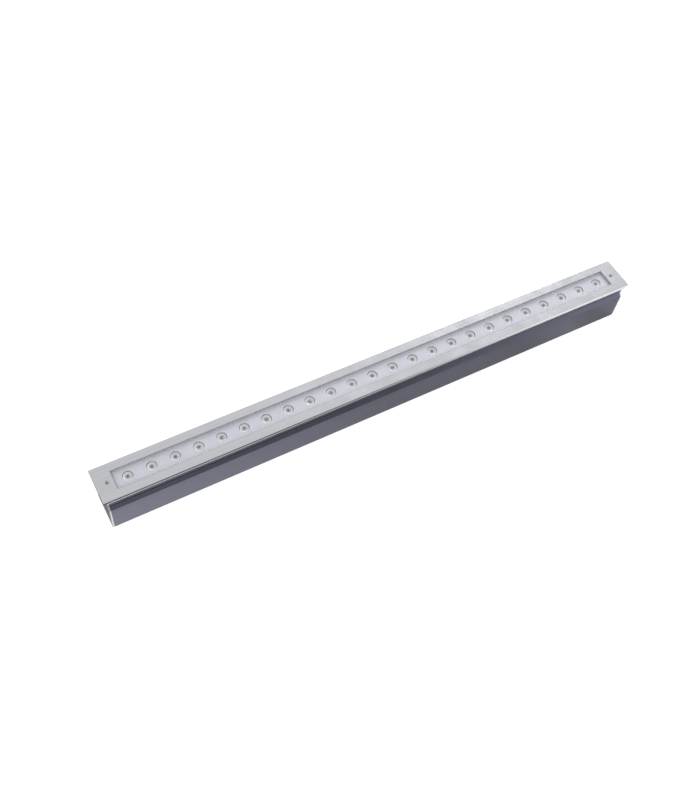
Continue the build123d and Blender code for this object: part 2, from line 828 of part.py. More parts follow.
def gland_locknut():
    thread = sided_bar(gland_thread_radius, gland_locknut_height, 2 * seen_sides)
    return Pos(gland_x, 0, cavity_floor) * (hexagon_bar(gland_hex, gland_locknut_height) - thread)


def breather_vent():
    """A hexagon base with a slotted cap below it and a hollow threaded stem above."""
    base = Pos(0, 0, housing_bottom - vent_base_height) * hexagon_bar(vent_hex, vent_base_height)
    cap_top = housing_bottom - vent_base_height
    cap_low = cap_top - vent_cap_height
    cap = sided_stack([(vent_cap_low_radius, cap_low), (vent_cap_top_radius, cap_top)], seen_sides)
    stem_length = housing_floor + vent_thread_reach
    stem = Pos(0, 0, housing_bottom) * sided_bar(vent_thread_radius, stem_length, seen_sides)
    bore = Pos(0, 0, housing_bottom) * sided_bar(vent_bore_radius, stem_length, seen_sides)
    solid = base + cap + stem - bore
    slot = centred_box(2 * vent_hex, vent_slot_width, vent_slot_height)
    for angle in range(0, 180, 60):
        solid = solid - Pos(0, 0, housing_bottom - vent_slot_drop) * Rot(0, 0, angle) * slot
    return Pos(vent_x, 0, 0) * solid


def vent_locknut():
    thread = sided_bar(vent_thread_radius, vent_locknut_height, seen_sides)
    return Pos(vent_x, 0, cavity_floor) * (hexagon_bar(vent_hex, vent_locknut_height) - thread)


def write_node(name, shape):
    """Writes one node; a list of solids becomes a group of separate solids."""
    solids = []
    for piece in shape if isinstance(shape, list) else [shape]:
        solids.extend(piece.solids())
    body = solids[0] if len(solids) == 1 else Compound(children=solids)
    body.label = name
    export_step(body, "parts/" + name + ".step")
    print(name, len(solids), round(sum(solid.volume for solid in solids)))


os.makedirs("parts", exist_ok=True)
write_node("box_extrusion", box_extrusion())
write_node("box_end_plate_left", box_end_plate(-1))
write_node("box_end_plate_right", box_end_plate(1))
write_node("end_plate_screws", end_plate_screws())
write_node("cable_grommet", cable_grommet())
write_node("fixing_bracket_left", fixing_bracket(-1))
write_node("fixing_bracket_right", fixing_bracket(1))
write_node("bracket_rivets", bracket_rivets())
write_node("bracket_nuts", bracket_nuts())
write_node("face_plate", face_plate())
write_node("fixing_screws", fixing_screws())
write_node("screw_retainers", screw_retainers())
write_node("cover_glass", cover_glass())
write_node("glass_seal", glass_seal())
write_node("plate_bond", plate_bond())
write_node("light_housing", light_housing())
write_node("housing_cap_left", housing_cap(-1))
write_node("housing_cap_right", housing_cap(1))
write_node("cap_gasket_left", cap_gasket(-1))
write_node("cap_gasket_right", cap_gasket(1))
write_node("cap_screws", cap_screws())
write_node("optic_plate", optic_plate())
write_node("board_screws", board_screws())
write_node("board_links", board_links())
write_node("driver_tray", driver_tray())
write_node("driver", driver())
write_node("driver_screws", driver_screws())
write_node("terminal_block", terminal_block())
write_node("gland_body", gland_body())
write_node("gland_nut", gland_nut())
write_node("gland_seal", gland_seal())
write_node("gland_locknut", gland_locknut())
write_node("breather_vent", breather_vent())
write_node("vent_locknut", vent_locknut())
for board in range(board_count):
    number = str(board + 1)
    write_node("lenses_" + number, lenses(board))
    write_node("lens_carrier_" + number, lens_carrier(board))
    write_node("emitters_" + number, emitters(board))
    write_node("led_board_" + number, led_board(board))
    write_node("thermal_pad_" + number, thermal_pad(board))
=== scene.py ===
import json
import math
import bmesh
import bpy
from mathutils import Matrix, Vector

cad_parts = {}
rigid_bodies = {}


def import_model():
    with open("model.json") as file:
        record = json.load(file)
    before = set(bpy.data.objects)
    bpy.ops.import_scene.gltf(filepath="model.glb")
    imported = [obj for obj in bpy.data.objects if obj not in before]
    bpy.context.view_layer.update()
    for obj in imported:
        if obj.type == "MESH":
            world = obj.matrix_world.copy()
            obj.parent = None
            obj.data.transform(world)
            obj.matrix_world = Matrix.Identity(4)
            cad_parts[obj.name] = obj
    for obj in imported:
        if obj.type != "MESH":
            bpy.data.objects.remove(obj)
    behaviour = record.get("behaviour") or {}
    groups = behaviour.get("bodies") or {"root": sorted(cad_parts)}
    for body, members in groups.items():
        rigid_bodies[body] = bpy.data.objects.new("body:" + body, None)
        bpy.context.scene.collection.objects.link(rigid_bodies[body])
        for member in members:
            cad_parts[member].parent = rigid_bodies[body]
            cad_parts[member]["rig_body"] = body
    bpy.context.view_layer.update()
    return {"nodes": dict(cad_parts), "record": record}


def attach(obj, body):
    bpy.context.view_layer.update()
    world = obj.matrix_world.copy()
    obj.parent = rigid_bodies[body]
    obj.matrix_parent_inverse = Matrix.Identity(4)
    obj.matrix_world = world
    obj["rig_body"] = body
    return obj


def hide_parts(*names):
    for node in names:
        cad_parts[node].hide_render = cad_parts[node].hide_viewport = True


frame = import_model()
nodes = frame["nodes"]
scene = bpy.context.scene
scene.view_settings.view_transform = "Standard"
mm = 0.001
slotOf = {row["node"]: row["material_slot"] for row in frame["record"]["subparts"]}


# shader groups that several materials share

def newGroup(name, inputs, outputs):
    tree = bpy.data.node_groups.new(name, "ShaderNodeTree")
    for label, value in inputs.items():
        tree.interface.new_socket(label, in_out="INPUT", socket_type="NodeSocketFloat").default_value = value
    for label in outputs:
        tree.interface.new_socket(label, in_out="OUTPUT", socket_type="NodeSocketFloat")
    return tree, tree.nodes.new("NodeGroupInput").outputs, tree.nodes.new("NodeGroupOutput").inputs


def addNode(tree, kind, **values):
    # keys are attributes of the node, or its inputs by name with spaces left out
    node = tree.nodes.new("ShaderNode" + kind)
    sockets = {s.name.replace(" ", ""): s for s in reversed(node.inputs)}
    for key, value in values.items():
        if hasattr(node, key):
            setattr(node, key, value)
        else:
            sockets[key].default_value = value
    return node


def plugIn(tree, socket, value):
    # a plain number is set on the socket, anything else is linked to it
    if isinstance(value, (int, float)):
        socket.default_value = value
    else:
        tree.links.new(value, socket)


def mathNode(tree, operation, first, second):
    node = addNode(tree, "Math", operation=operation)
    for socket, value in zip(node.inputs, (first, second)):
        plugIn(tree, socket, value)
    return node.outputs[0]


def stretchedNoise(tree, stretch, detail):
    place = addNode(tree, "TexCoord")
    squeeze = addNode(tree, "Mapping", Scale=stretch)
    noise = addNode(tree, "TexNoise", Scale=1.0, Detail=detail)
    tree.links.new(place.outputs["Object"], squeeze.inputs["Vector"])
    tree.links.new(squeeze.outputs["Vector"], noise.inputs["Vector"])
    return noise.outputs["Fac"]


# long grain along X: fine lines over broader streaks
grain, grainIn, grainOut = newGroup("Long grain", {"Fine": 0.5, "Broad": 0.5}, ("Tone", "Height"))
fineLines = stretchedNoise(grain, (14, 4200, 4200), 2)
broadLines = stretchedNoise(grain, (3, 420, 420), 3)
fineShare = mathNode(grain, "MULTIPLY", fineLines, grainIn["Fine"])
broadShare = mathNode(grain, "MULTIPLY", broadLines, grainIn["Broad"])
grain.links.new(mathNode(grain, "ADD", fineShare, broadShare), grainOut["Tone"])
grain.links.new(fineLines, grainOut["Height"])

# soft clouds and fine specks where a surface has been handled and has gathered a little dust
wear, wearIn, wearOut = newGroup("Handling", {"Scale": 30.0}, ("Cloud", "Speck"))
where = addNode(wear, "TexCoord")
for label, factor, detail in (("Cloud", 1, 4), ("Speck", 30, 2)):
    noise = addNode(wear, "TexNoise", Detail=detail, Roughness=0.6)
    wear.links.new(where.outputs["Object"], noise.inputs["Vector"])
    wear.links.new(mathNode(wear, "MULTIPLY", wearIn["Scale"], factor), noise.inputs["Scale"])
    wear.links.new(noise.outputs["Fac"], wearOut[label])


def makeFinish(name, darker, lighter, metallic, roughness, lines=None, scale=30.0, bump=0.02, **extra):
    # two colours mixed by the grain, or by clouds without lines; roughness is its lowest and highest value
    material = bpy.data.materials.new(name)
    material.use_nodes = True
    tree = material.node_tree
    surface = tree.nodes["Principled BSDF"]
    surface.inputs["Metallic"].default_value = metallic
    for label, value in extra.items():
        surface.inputs[label.replace("_", " ")].default_value = value
    handling = addNode(tree, "Group", node_tree=wear)
    handling.inputs["Scale"].default_value = scale
    mask, height = handling.outputs["Cloud"], handling.outputs["Speck"]
    if lines:
        streaks = addNode(tree, "Group", node_tree=grain)
        streaks.inputs["Fine"].default_value, streaks.inputs["Broad"].default_value = lines
        mask, height = streaks.outputs["Tone"], streaks.outputs["Height"]
    colours = addNode(tree, "ValToRGB")
    for stop, position, colour in zip(colours.color_ramp.elements, (0.3, 0.7), (darker, lighter)):
        stop.position, stop.color = position, (*colour, 1)
    tree.links.new(mask, colours.inputs["Fac"])
    tree.links.new(colours.outputs["Color"], surface.inputs["Base Color"])
    spread = addNode(tree, "MapRange", FromMin=0.3, FromMax=0.7, ToMin=roughness[0], ToMax=roughness[1])
    tree.links.new(handling.outputs["Cloud"], spread.inputs["Value"])
    tree.links.new(spread.outputs["Result"], surface.inputs["Roughness"])
    if bump:
        relief = addNode(tree, "Bump", Strength=bump, Distance=0.02 * mm)
        tree.links.new(height, relief.inputs["Height"])
        tree.links.new(relief.outputs["Normal"], surface.inputs["Normal"])
    return material


def letLightThrough(material):
    # lamps and bounced light pass straight through, so that what lies under clear glass is lit
    tree = material.node_tree
    path = addNode(tree, "LightPath").outputs
    blend, clear = addNode(tree, "MixShader"), addNode(tree, "BsdfTransparent")
    unseen = mathNode(tree, "MAXIMUM", path["Is Shadow Ray"], path["Is Diffuse Ray"])
    tree.links.new(unseen, blend.inputs["Fac"])
    tree.links.new(tree.nodes["Principled BSDF"].outputs[0], blend.inputs[1])
    tree.links.new(clear.outputs[0], blend.inputs[2])
    tree.links.new(blend.outputs[0], tree.nodes["Material Output"].inputs["Surface"])
    return material


# metals
plateSteel = makeFinish("Brushed plate", (0.57, 0.578, 0.612), (0.69, 0.698, 0.732), 1.0, (0.22, 0.3),
                        (0.5, 0.5), bump=0.15)
# darker steel for the plate's side faces: a painted dark reflection along the plate's edge
rimPaintedDark = makeFinish("Cut rim", (0.36, 0.365, 0.39), (0.44, 0.445, 0.47), 1.0, (0.12, 0.18),
                      (0.5, 0.5), bump=0.05)
screwSteel = makeFinish("Screw steel", (0.42, 0.42, 0.44), (0.55, 0.55, 0.57), 1.0, (0.2, 0.32), scale=300.0)
# near-black steel for the screws' sockets: painted shade in the recess
socketShadeSteel = makeFinish("Steel in a recess", (0.03, 0.03, 0.035), (0.06, 0.06, 0.068), 1.0, (0.4, 0.5),
                         scale=400.0)
zincSteel = makeFinish("Zinc plated steel", (0.45, 0.46, 0.48), (0.58, 0.59, 0.61), 1.0, (0.28, 0.42),
                       scale=120.0)
darkAnodised = makeFinish("Dark anodised", (0.12, 0.123, 0.165), (0.145, 0.148, 0.195), 1.0, (0.24, 0.32),
                          (0.35, 0.65), bump=0.1)
paleAnodised = makeFinish("Natural anodised", (0.48, 0.49, 0.5), (0.56, 0.57, 0.585), 1.0, (0.34, 0.46),
                          (0.4, 0.6), bump=0.1)
bareMetal = makeFinish("Bare aluminium", (0.6, 0.605, 0.62), (0.72, 0.725, 0.74), 1.0, (0.28, 0.4),
                       scale=90.0, bump=0.05)

# plastics, rubber, boards and emitters
opticGrey = makeFinish("Optic plate plastic", (0.64, 0.655, 0.725), (0.68, 0.695, 0.765), 0.0, (0.45, 0.55),
                       scale=60.0)
whitePlastic = makeFinish("White plastic", (0.62, 0.62, 0.62), (0.7, 0.7, 0.69), 0.0, (0.4, 0.5), scale=150.0)
blackPlastic = makeFinish("Black plastic", (0.012, 0.012, 0.014), (0.03, 0.03, 0.033), 0.0, (0.38, 0.52),
                          scale=200.0, bump=0.2)
driverPlastic = makeFinish("Driver case", (0.07, 0.07, 0.078), (0.11, 0.11, 0.12), 0.0, (0.42, 0.55),
                           scale=90.0, bump=0.25)
blackRubber = makeFinish("Black rubber", (0.012, 0.012, 0.013), (0.028, 0.028, 0.03), 0.0, (0.62, 0.78),
                         scale=140.0, bump=0.2)
greySilicone = makeFinish("Grey silicone", (0.17, 0.18, 0.22), (0.24, 0.25, 0.3), 0.0, (0.4, 0.5), scale=80.0)
boardWhite = makeFinish("Board white", (0.64, 0.65, 0.65), (0.72, 0.73, 0.72), 0.0, (0.32, 0.4), scale=200.0)
phosphor = makeFinish("Phosphor", (0.3, 0.27, 0.12), (0.4, 0.36, 0.18), 0.0, (0.25, 0.35), scale=900.0)
chipCeramic = makeFinish("Chip ceramic", (0.16, 0.15, 0.145), (0.22, 0.21, 0.2), 0.0, (0.4, 0.5), scale=900.0)

# glass and lenses
clearGlass = letLightThrough(makeFinish("Cover glass", (0.96, 0.975, 0.98), (0.98, 0.99, 0.995), 0.0,
                                        (0.0, 0.02), scale=12.0, bump=0, Transmission_Weight=1.0, IOR=1.5))
clearLens = makeFinish("Milky acrylic", (0.68, 0.685, 0.7), (0.76, 0.765, 0.775), 0.0, (0.06, 0.12),
                       scale=300.0, bump=0, Transmission_Weight=0.3, IOR=1.49)
# near-white lens cup wall: painted highlight for the glints, shaded by the lamp
glintPaintedWall = makeFinish("Frosted lens wall", (0.86, 0.865, 0.87), (0.92, 0.925, 0.93), 0.0, (0.12, 0.2),
                        scale=400.0, bump=0)
# dark lens middle: painted view of the dark emitter seen through the lens
paintedEmitterSpot = makeFinish("Smoked spot", (0.12, 0.118, 0.115), (0.18, 0.175, 0.17), 0.0, (0.1, 0.2),
                        scale=900.0)

finishOf = {
    "brushed_plate": plateSteel, "screw_steel": screwSteel, "bracket_steel": zincSteel,
    "anodised_box": darkAnodised, "end_plate_metal": bareMetal, "housing_aluminium": paleAnodised,
    "cover_glass": clearGlass, "optic_grey": opticGrey, "clear_lens": clearLens,
    "emitter_phosphor": phosphor, "board_white": boardWhite, "white_plastic": whitePlastic,
    "black_plastic": blackPlastic, "driver_case": driverPlastic, "black_rubber": blackRubber,
    "grey_silicone": greySilicone,
}
for name, cadPart in nodes.items():
    cadPart.data.materials.clear()
    cadPart.data.materials.append(finishOf[slotOf[name]])
print("materials done")


# shapes and pieces, in millimetres until they are added

def moved(x, y, z):
    return Matrix.Translation((x * mm, y * mm, z * mm))


def ends(x, y, z):
    # stands a shape made along Z at the left and right end, its top outwards
    return [moved(side * x, y, z) @ Matrix.Rotation(side * math.radians(90), 4, "Y") for side in (-1, 1)]


def block(length, width, low, high, x=0, y=0):
    bm = bmesh.new()
    bmesh.ops.create_cube(bm, size=1)
    size = Matrix.Diagonal((length * mm, width * mm, (high - low) * mm, 1))
    bmesh.ops.transform(bm, matrix=moved(x, y, (low + high) / 2) @ size, verts=bm.verts)
    return bm


def turned(outline, steps=48, closed=False):
    # a full turn about Z of radius and height points; closed joins the last to the first, for a ring
    bm = bmesh.new()
    points = [bm.verts.new((r * mm, 0, z * mm)) for r, z in outline]
    pairs = list(zip(points, points[1:])) + ([(points[-1], points[0])] if closed else [])
    edges = [bm.edges.new(pair) for pair in pairs]
    bmesh.ops.spin(bm, geom=points + edges, axis=(0, 0, 1), cent=(0, 0, 0), angle=2 * math.pi, steps=steps,
                   use_merge=True)
    bmesh.ops.remove_doubles(bm, verts=bm.verts, dist=0.001 * mm)
    bmesh.ops.recalc_face_normals(bm, faces=bm.faces)
    return bm


def hexSocket(bm, across):
    # the ring of points at the socket's corner radius is drawn in to a hexagon
    corner = across / math.sqrt(3) * mm
    for vert in bm.verts:
        if abs(math.hypot(vert.co.x, vert.co.y) - corner) < 0.02 * mm:
            turn = math.atan2(vert.co.y, vert.co.x) % math.radians(60) - math.radians(30)
            reach = across / 2 * mm / math.cos(turn) / corner
            vert.co.x, vert.co.y = vert.co.x * reach, vert.co.y * reach
    return bm


def sectionBar(outline, start, length):
    # an outline of y and z points, half of it, mirrored and run along X
    bm = bmesh.new()
    whole = outline + [(-y, z) for y, z in reversed(outline)]
    face = bm.faces.new([bm.verts.new((start * mm, y * mm, z * mm)) for y, z in whole])
    grown = bmesh.ops.extrude_face_region(bm, geom=[face])["geom"]
    far = [g for g in grown if isinstance(g, bmesh.types.BMVert)]
    bmesh.ops.translate(bm, vec=(length * mm, 0, 0), verts=far)
    bmesh.ops.recalc_face_normals(bm, faces=bm.faces)
    return bm


def beyond(point, length, width):
    # whether a point lies outside a rectangle of this size about the middle
    return abs(point.x) > length / 2 * mm or abs(point.y) > width / 2 * mm


def runsAlong(edge, axis):
    return abs((edge.verts[0].co - edge.verts[1].co).normalized()[axis]) > 0.9


def bevelled(bm, width, segments=2, leastAngle=28, only=lambda edge: True):
    edges = [e for e in bm.edges
             if e.is_manifold and math.degrees(e.calc_face_angle()) > leastAngle and only(e)]
    bmesh.ops.bevel(bm, geom=edges, offset=width * mm, offset_type="OFFSET", segments=segments, profile=0.5,
                    affect="EDGES", clamp_overlap=True, material=-1)
    return bm


def keptMesh(bm, name):
    mesh = bpy.data.meshes.new(name)
    bm.to_mesh(mesh)
    bm.free()
    return mesh


def repeated(bm, places):
    # the shape again at every place, as one mesh
    part = keptMesh(bm, "part")
    whole = bmesh.new()
    for place in places:
        again = part.copy()
        again.transform(place)
        whole.from_mesh(again)
        bpy.data.meshes.remove(again)
    bpy.data.meshes.remove(part)
    return whole


def newObject(bm, name):
    made = bpy.data.objects.new(name, keptMesh(bm, name))
    scene.collection.objects.link(made)
    return made


def cutAway(bm, tool):
    # the shape less the tool, by a boolean
    blank, cutter = newObject(bm, "blank"), newObject(tool, "cutter")
    cut = blank.modifiers.new("cut", "BOOLEAN")
    cut.operation, cut.solver, cut.object = "DIFFERENCE", "EXACT", cutter
    result = bmesh.new()
    result.from_object(blank, bpy.context.evaluated_depsgraph_get())
    for spent in (blank, cutter):
        bpy.data.objects.remove(spent)
    bmesh.ops.remove_doubles(result, verts=result.verts, dist=0.001 * mm)
    bmesh.ops.dissolve_limit(result, angle_limit=math.radians(0.3), verts=result.verts, edges=result.edges)
    return result


def addPiece(bm, name, node, sharpAngle=32, finishes=None):
    # the finished mesh as a piece that rides on its node's body and stands for it
    piece = newObject(bm, name)
    for face in piece.data.polygons:
        face.use_smooth = True
    piece.data.set_sharp_from_angle(angle=math.radians(sharpAngle))
    flatter = piece.modifiers.new("flat faces stay flat", "WEIGHTED_NORMAL")
    flatter.keep_sharp, flatter.weight = True, 100
    for finish in finishes or [finishOf[slotOf[node]]]:
        piece.data.materials.append(finish)
    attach(piece, nodes[node]["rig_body"])
    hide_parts(node)
    return piece


def cadCopy(node):
    bm = bmesh.new()
    bm.from_mesh(nodes[node].data)
    bmesh.ops.remove_doubles(bm, verts=bm.verts, dist=0.002 * mm)
    bmesh.ops.dissolve_limit(bm, angle_limit=math.radians(0.5), verts=bm.verts, edges=bm.edges)
    return bm


def softenedCopies(widths):
    # nodes that keep their CAD shape, each with its width of bevel
    for node, width in widths.items():
        addPiece(bevelled(cadCopy(node), width), node.replace("_", "-"), node)


def socketScrew(size, steps=48, edge=0.12):
    # a countersunk screw with its head's flat top at the origin, its socket in the second finish, near-black
    # steel that paints the shade in the socket
    head, shank, length, depth = size["head"], size["shank"], size["length"], size["socketDepth"]
    corner = size["socket"] / math.sqrt(3)
    bm = turned([(0, -depth), (corner, -depth), (corner, 0), (head, 0), (head, -edge), (shank, shank - head),
                 (shank, 0.5 - length), (shank - 0.5, -length), (0, -length)], steps)
    bevelled(hexSocket(bm, size["socket"]), edge, 2, 40)
    # the socket's faces take the dark second finish: painted shade
    for face in bm.faces:
        centre = face.calc_center_median()
        inSocket = math.hypot(centre.x, centre.y) < corner * mm
        if inSocket and (-depth - 0.1) * mm < centre.z < -0.15 * mm:
            face.material_index = 1
    return bm


def sinkCutter(head, shank):
    return turned([(0, 1), (head, 1), (head, 0), (shank, shank - head), (shank, -4), (0, -4)], 32)


# face plate, its rim leaning in a little; the window's own edges stay sharp against the seal
plate = {"length": 1000, "width": 64, "low": 82.5, "high": 85.5, "draft": 0.42, "bevel": 0.12}
window = {"length": 942.2, "width": 33.2}
screw = {"x": 482, "clearance": 2.25, "sink": 4.3, "head": 4, "shank": 2, "length": 19.8, "top": 85.3,
         "socket": 2.5, "socketDepth": 1.8}
bm = block(plate["length"], plate["width"], plate["low"], plate["high"])
for vert in bm.verts:
    if vert.co.z > (plate["high"] - 0.1) * mm:
        vert.co.x -= math.copysign(plate["draft"] * mm, vert.co.x)
        vert.co.y -= math.copysign(plate["draft"] * mm, vert.co.y)
bm = cutAway(bm, block(window["length"], window["width"], plate["low"] - 1, plate["high"] + 1))
sink, clearance = screw["sink"], screw["clearance"]
sinkHole = turned([(0, 1), (sink, 1), (sink, 0), (clearance, clearance - sink), (clearance, -4), (0, -4)])
bm = cutAway(bm, repeated(sinkHole, [moved(side * screw["x"], 0, plate["high"]) for side in (-1, 1)]))
bevelled(bm, plate["bevel"], 2,
         only=lambda e: any(beyond(v.co, window["length"] + 0.2, window["width"] + 0.2) for v in e.verts))
# the plate's side faces take the darker rim steel, a painted dark reflection along its edge
for face in bm.faces:
    onRim = beyond(face.calc_center_median(), plate["length"] - 2, plate["width"] - 2)
    if onRim and abs(face.normal.z) < 0.9:
        face.material_index = 1
addPiece(bm, "facePlate", "face_plate", finishes=[plateSteel, rimPaintedDark])

# the two screws that show in it
places = [moved(side * screw["x"], 0, screw["top"]) for side in (-1, 1)]
addPiece(repeated(socketScrew(screw), places), "fixingScrews", "fixing_screws",
         finishes=[screwSteel, socketShadeSteel])
print("face plate done")


# glass, a little clear of the ring round it and of the plate under it
glass = {"length": 940.1, "width": 32.3, "low": 80.06, "high": 85, "bevel": 0.12}
bm = block(glass["length"], glass["width"], glass["low"], glass["high"])
addPiece(bevelled(bm, glass["bevel"], 2), "coverGlass", "cover_glass")

# silicone ring that fills the window round the glass
seal = {"low": 82.55, "high": 84.8, "gap": 0.1, "bevel": 0.12}
gap = seal["gap"]
bm = block(window["length"] - gap, window["width"] - gap, seal["low"], seal["high"])
bm = cutAway(bm, block(glass["length"] + gap, glass["width"] + gap, seal["low"] - 1, seal["high"] + 1))
addPiece(bevelled(bm, seal["bevel"], 2), "glassSeal", "glass_seal")

# lens plate with its row of holes
ledPitch = 39.05
ledX = [(step - 11.5) * ledPitch for step in range(24)]
optic = {"length": 939.6, "width": 32.3, "low": 78, "high": 79.95, "hole": 8.3, "mouth": 8.9, "bevel": 0.1}
bm = block(optic["length"], optic["width"], optic["low"], optic["high"])
hole, mouth = optic["hole"], optic["mouth"]
lensHole = turned([(0, -3), (hole, -3), (hole, hole - mouth), (mouth, 0), (mouth, 1), (0, 1)])
bm = cutAway(bm, repeated(lensHole, [moved(x, 0, optic["high"]) for x in ledX]))
addPiece(bevelled(bm, optic["bevel"], 2), "opticPlate", "optic_plate")

# collimator lens: emitter well with a domed roof, flared side, rim, and a cup in the top round a raised
# middle; heights are above the board.
# The middle has a painted dark spot for the emitter seen through the lens, and the cup's wall is painted near
# white for the glints in it
lens = {"well": 2.8, "wellDepth": 3, "wellDome": 0.7, "foot": 4.2, "flareTop": 8.0, "flareRadius": 7.4,
        "rim": 7.65, "rimLow": 8.15, "height": 10.2, "cup": 7.2, "cupFloor": 4.7, "cupDepth": 1.5,
        "spot": 2.3, "spotHeight": 9.5}
flare = []
for step in range(8):
    share = step / 7
    area = lens["foot"] ** 2 * (1 - share) + lens["flareRadius"] ** 2 * share
    flare.append((math.sqrt(area), lens["flareTop"] * share))
roof = [(lens["well"] * math.sin(a), lens["wellDepth"] - lens["wellDome"] * math.cos(a))
        for a in (0, 0.35, 0.7, 1.05, 1.4)]
top, cupFloor, spotHeight = lens["height"], lens["cupFloor"], lens["spotHeight"]
floorHeight = top - lens["cupDepth"]
rim = [(lens["rim"], lens["rimLow"]), (lens["rim"], top - 0.15), (lens["rim"] - 0.15, top),
       (lens["cup"] + 0.1, top)]
cup = [(lens["cup"], top - 0.1), (cupFloor + 1.3, floorHeight + 0.6), (cupFloor + 0.2, floorHeight + 0.1),
       (cupFloor - 0.3, floorHeight), (cupFloor - 1.3, floorHeight + 0.35), (lens["spot"], spotHeight),
       (1.2, spotHeight + 0.15), (0, spotHeight + 0.2)]
bm = turned(roof + [(lens["well"], 0)] + flare + rim + cup, 40)
# faces in the middle take the painted emitter spot, and the cup's wall takes the painted glint
for face in bm.faces:
    centre = face.calc_center_median()
    reach = math.hypot(centre.x, centre.y)
    if centre.z > (floorHeight - 0.1) * mm and reach < lens["spot"] * mm:
        face.material_index = 1
    elif centre.z > floorHeight * mm and cupFloor * mm < reach < lens["cup"] * mm:
        face.material_index = 2
lensMesh = keptMesh(bm, "lens")

# emitter: a small ceramic chip under a dome in the colour of its phosphor
emitter = {"side": 3.5, "height": 0.75, "bevel": 0.1, "dome": 1.5, "domeLow": 0.72, "domeHeight": 1.15}
bm = bevelled(block(emitter["side"], emitter["side"], 0, emitter["height"]), emitter["bevel"], 1)
dome = turned([(emitter["dome"] * math.cos(a), emitter["domeLow"] + emitter["domeHeight"] * math.sin(a))
               for a in (0, 0.3, 0.6, 0.9, 1.2, math.pi / 2)], 20)
for face in dome.faces:
    face.material_index = 1
bm.from_mesh(keptMesh(dome, "dome"))
chipMesh = keptMesh(bm, "chip")

# each board's six lenses and emitters, and the moulded strip that carries them
carrier = {"boardTop": 67.5, "width": 20, "top": 77.6, "margin": 10.5, "socket": 8.35, "footHeight": 3.2,
           "cut": 3, "bevel": 0.2}
kinds = (("lensRow", "lenses_", lensMesh, [clearLens, paintedEmitterSpot, glintPaintedWall]),
         ("emitterRow", "emitters_", chipMesh, [chipCeramic, phosphor]))
boardTop, socket = carrier["boardTop"], carrier["socket"]
for board in range(4):
    row = ledX[board * 6:board * 6 + 6]
    number = str(board + 1)
    places = [moved(x, 0, boardTop) for x in row]
    for name, node, mesh, finishes in kinds:
        bm = bmesh.new()
        bm.from_mesh(mesh)
        addPiece(repeated(bm, places), name + number, node + number, 40, finishes)
    length = row[-1] - row[0] + 2 * carrier["margin"]
    bm = block(length, carrier["width"], boardTop, carrier["top"], (row[0] + row[-1]) / 2)
    bevelled(bm, carrier["cut"], 1, only=lambda e: runsAlong(e, 2))
    between = block(ledPitch / 2, carrier["width"] + 2, boardTop - 1, boardTop + carrier["footHeight"])
    bm = cutAway(bm, repeated(between, [moved((a + b) / 2, 0, 0) for a, b in zip(row, row[1:])]))
    socketHole = turned([(0, -1), (socket, -1), (socket, 12), (0, 12)])
    bm = cutAway(bm, repeated(socketHole, places))
    addPiece(bevelled(bm, carrier["bevel"], 2), "lensCarrier" + number, "lens_carrier_" + number)
print("lens row done")


# recess box: the extrusion keeps its CAD section, with the flange's milled edge left bare; that bare edge
# also paints the bright line of light along the flange
box = {"halfWidth": 32, "neck": 27.2, "neckLow": 61.5, "shoulderLow": 56, "flangeLow": 79.7,
       "flangeTop": 82.5, "endX": 491.2, "outerX": 494, "cornerRadius": 3.5, "bevel": 0.3, "endBevel": 0.25}
bm = bevelled(cadCopy("box_extrusion"), box["bevel"])
# the flange's side faces take bare aluminium: a milled edge, and a painted highlight for the bright line
# along it
for face in bm.faces:
    centre = face.calc_center_median()
    if abs(centre.y) > (box["halfWidth"] - 0.4) * mm and centre.z > (box["flangeLow"] - 0.1) * mm:
        face.material_index = 1
addPiece(bm, "boxExtrusion", "box_extrusion", finishes=[darkAnodised, bareMetal])

# end plates: screw and rivet holes, the cable entry in the right one and its knock-out groove in the left
endScrew = {"y": 26.6, "z": (5, 50), "head": 3.8, "shank": 1.95, "length": 14, "socket": 2.5,
            "socketDepth": 1.8}
rivet = {"z": (55, 64.5), "head": 3.6, "shank": 2, "grip": 4.8}
entry = {"z": 17.5, "hole": 8, "grooveWidth": 0.7, "grooveDepth": 2.2}
endOutline = [(box["halfWidth"], 0), (box["halfWidth"], box["shoulderLow"]), (box["neck"], box["neckLow"]),
              (box["neck"], box["flangeLow"]), (box["halfWidth"], box["flangeLow"]),
              (box["halfWidth"], box["flangeTop"])]
outerX, hole = box["outerX"], entry["hole"]
groove, grooveEnd = hole - entry["grooveWidth"], -entry["grooveDepth"]
for index, side in enumerate(("left", "right")):
    start = -outerX if side == "left" else box["endX"]
    bm = sectionBar(endOutline, start, outerX - box["endX"])
    bevelled(bm, box["cornerRadius"], 6,
             only=lambda e: all(v.co.z < 0.01 * mm for v in e.verts) and runsAlong(e, 0))
    holes = [ends(outerX, y, z)[index] for y in (-endScrew["y"], endScrew["y"]) for z in endScrew["z"]]
    bm = cutAway(bm, repeated(sinkCutter(endScrew["head"] + 0.1, endScrew["shank"]), holes))
    holes = [ends(outerX, 0, z)[index] for z in rivet["z"]]
    bm = cutAway(bm, repeated(sinkCutter(rivet["head"] + 0.05, rivet["shank"]), holes))
    if side == "right":
        tool = turned([(0, 1), (hole, 1), (hole, -4), (0, -4)])
    else:
        tool = turned([(hole, 1), (hole, grooveEnd), (groove, grooveEnd), (groove, 1)], closed=True)
    bm = cutAway(bm, repeated(tool, [ends(outerX, 0, entry["z"])[index]]))
    addPiece(bevelled(bm, box["endBevel"], 2), "endPlate" + side.capitalize(), "box_end_plate_" + side)

places = [place for y in (-endScrew["y"], endScrew["y"]) for z in endScrew["z"]
          for place in ends(outerX, y, z)]
addPiece(repeated(socketScrew(endScrew, 36), places), "endPlateScrews", "end_plate_screws",
         finishes=[screwSteel, socketShadeSteel])

